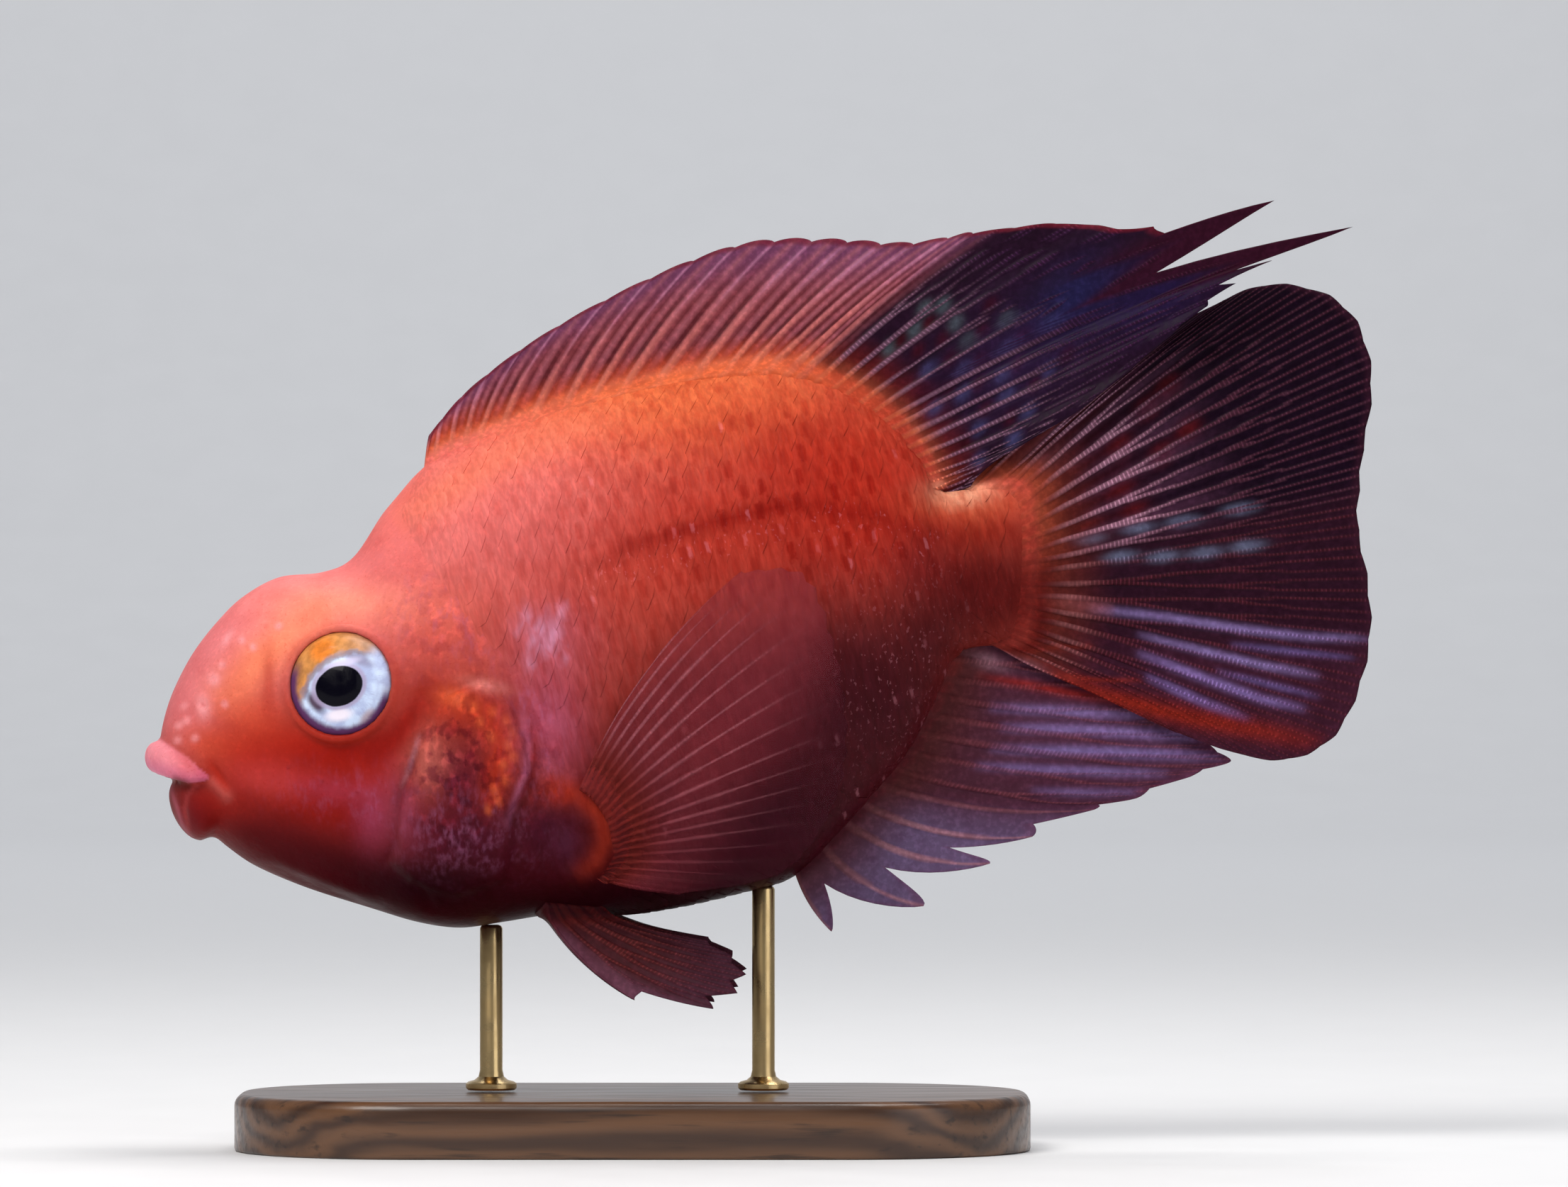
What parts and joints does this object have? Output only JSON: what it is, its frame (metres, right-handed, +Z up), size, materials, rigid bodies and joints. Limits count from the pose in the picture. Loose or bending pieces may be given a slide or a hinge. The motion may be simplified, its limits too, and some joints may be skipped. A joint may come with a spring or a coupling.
{
  "type": "blood parrot cichlid model",
  "caption": "Life-size still model of a blood parrot cichlid swimming nose-down, fins spread, held over a flat base by slim rods.",
  "frame": {"origin": "middle of the model's bounding box on the underside of the stand's base", "axes": "+X from the snout to the tail, +Z up, -Y towards the fish's left side"},
  "size_m": [0.1735, 0.06, 0.1337],
  "materials": {
    "flank": "wet, scaled",
    "cheek": "wet, smooth",
    "lip": "wet, smooth",
    "eye": "clear, glossy",
    "fin": "wet, thin membrane with rays",
    "stand": "satin",
    "rod": "satin"
  },
  "bodies": {
    "root": {"head": "cheek", "lower_jaw": "cheek", "upper_lip": "lip", "lower_lip": "lip", "eye_left": "eye", "eye_right": "eye", "gill_cover_left": "cheek", "gill_cover_right": "cheek", "trunk": "flank", "tail_stalk": "flank", "dorsal_fin": "fin", "tail_fin": "fin", "anal_fin": "fin", "pectoral_fin_left": "fin", "pectoral_fin_right": "fin", "pelvic_fin_left": "fin", "pelvic_fin_right": "fin", "stand_base": "stand", "stand_rod_front": "rod", "stand_rod_rear": "rod"}
  },
  "joints": []
}
